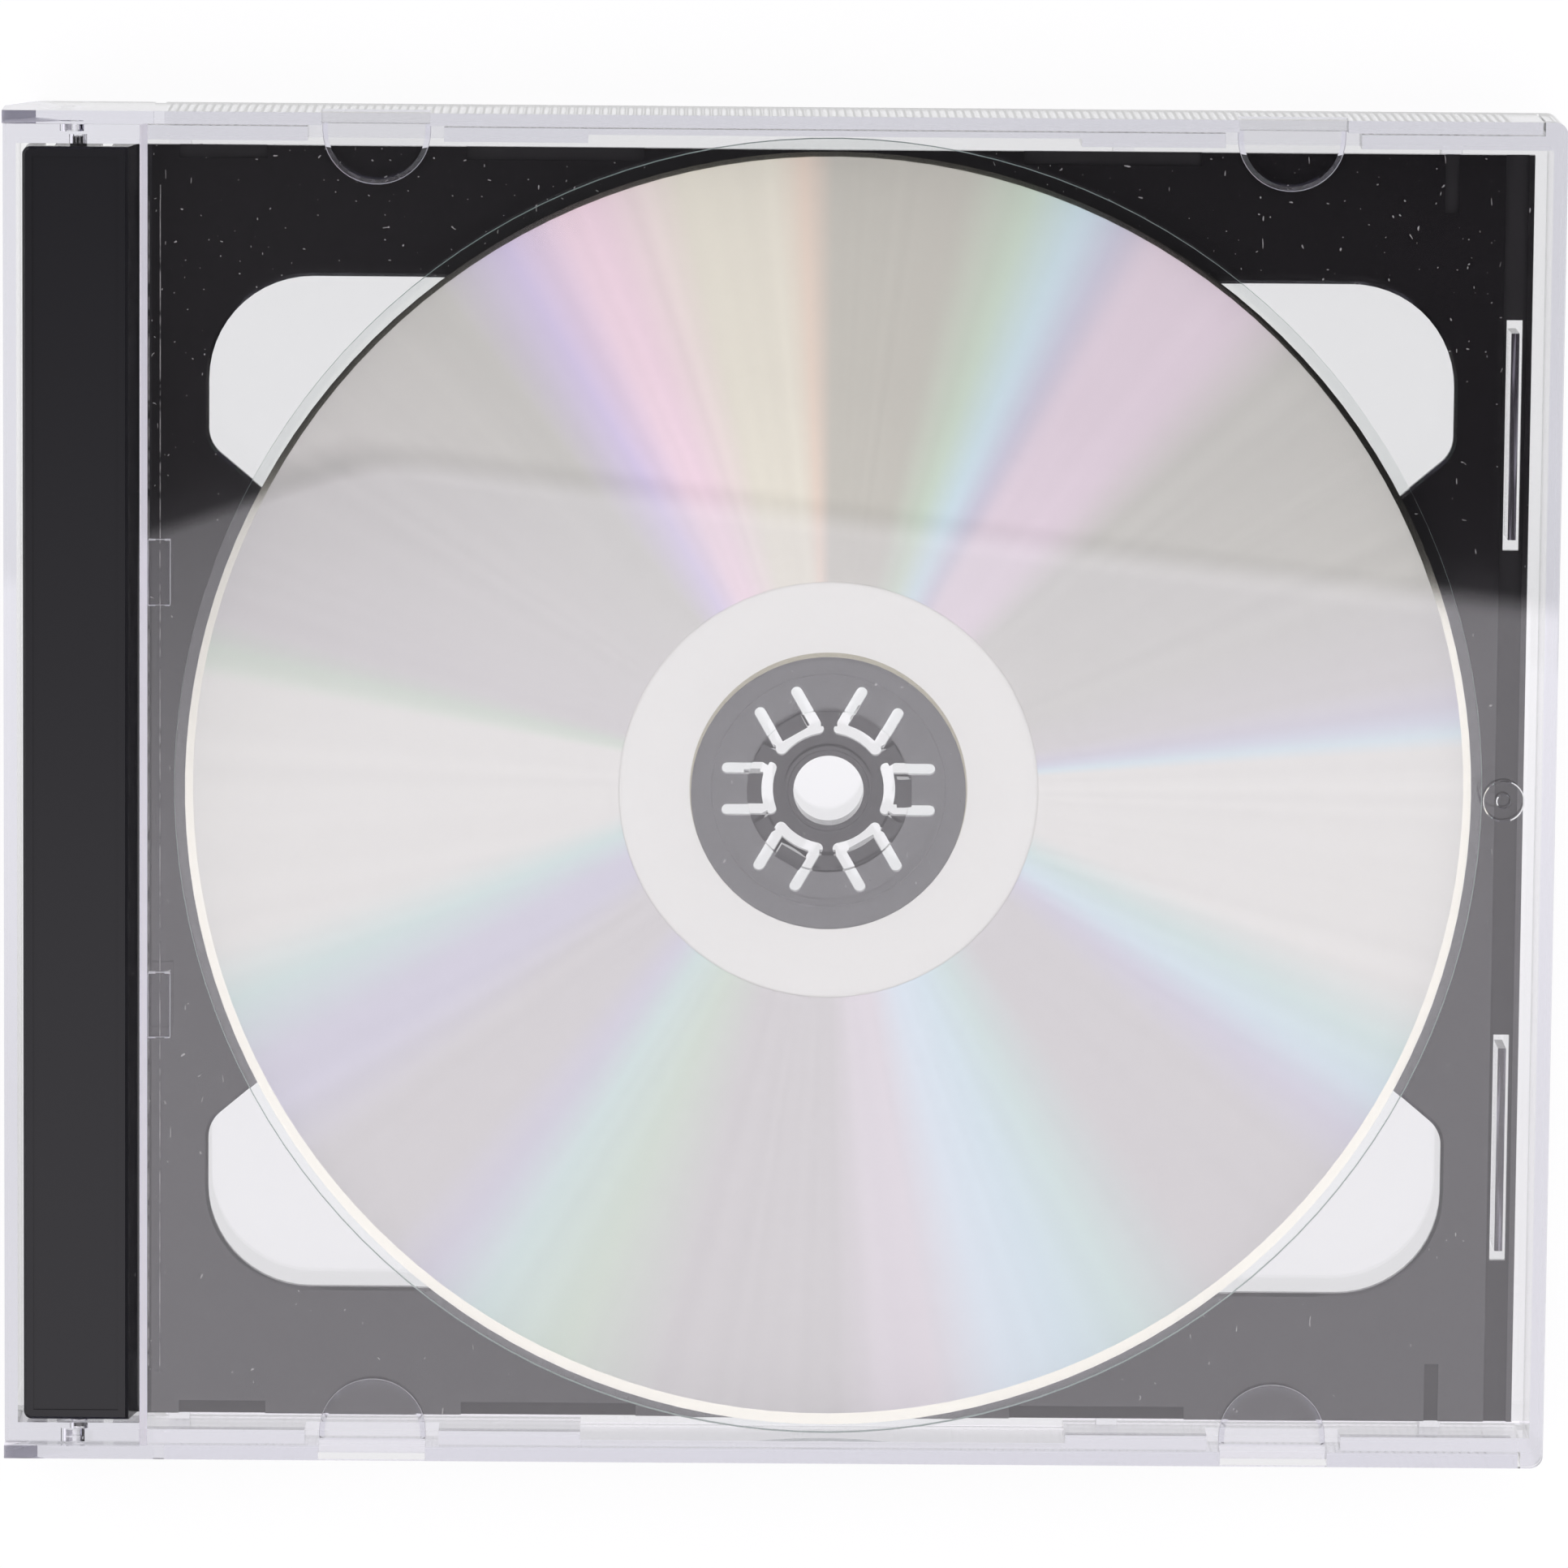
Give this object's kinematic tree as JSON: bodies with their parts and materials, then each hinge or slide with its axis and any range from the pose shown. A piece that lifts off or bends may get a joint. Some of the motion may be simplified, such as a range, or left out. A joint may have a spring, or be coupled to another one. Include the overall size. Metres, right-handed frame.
{
  "type": "cd jewel case",
  "caption": "Clear hinged disc case with a black swing tray, snap hub, finger windows and one disc held under the front cover.",
  "frame": {"origin": "middle of the underside of the closed case, lying on its back cover", "axes": "+X from the hinge spine to the opening side, +Y along the spine, +Z from the back cover up to the front cover"},
  "size_m": [0.142, 0.1244, 0.0104],
  "materials": {
    "clear_polystyrene": "polished clear moulding",
    "black_polystyrene": "black moulding with a fine satin surface",
    "clear_polycarbonate": "polished clear disc",
    "silver_film": "reflective silver film seen through the disc",
    "white_print": "white printed coat"
  },
  "bodies": {
    "base": {"back_cover": "clear_polystyrene"},
    "lid": {"front_cover": "clear_polystyrene"},
    "tray": {"disc_tray": "black_polystyrene", "disc_substrate": "clear_polycarbonate", "disc_reflective_film": "silver_film", "disc_white_print": "white_print"}
  },
  "joints": [
    {"name": "lid_hinge", "type": "hinge", "parent": "base", "child": "lid", "pos_m": [-0.06485, 0, 0.0052], "axis": [0, -1, 0], "range_deg": [0, 180]},
    {"name": "tray_swing", "type": "hinge", "parent": "base", "child": "tray", "pos_m": [-0.06424, 0, 0.00675], "axis": [0, -1, 0], "range_deg": [0, 90]}
  ],
  "couplings": [
    {"joint": "tray_swing", "follows": "lid_hinge", "ratio": 0.5}
  ]
}
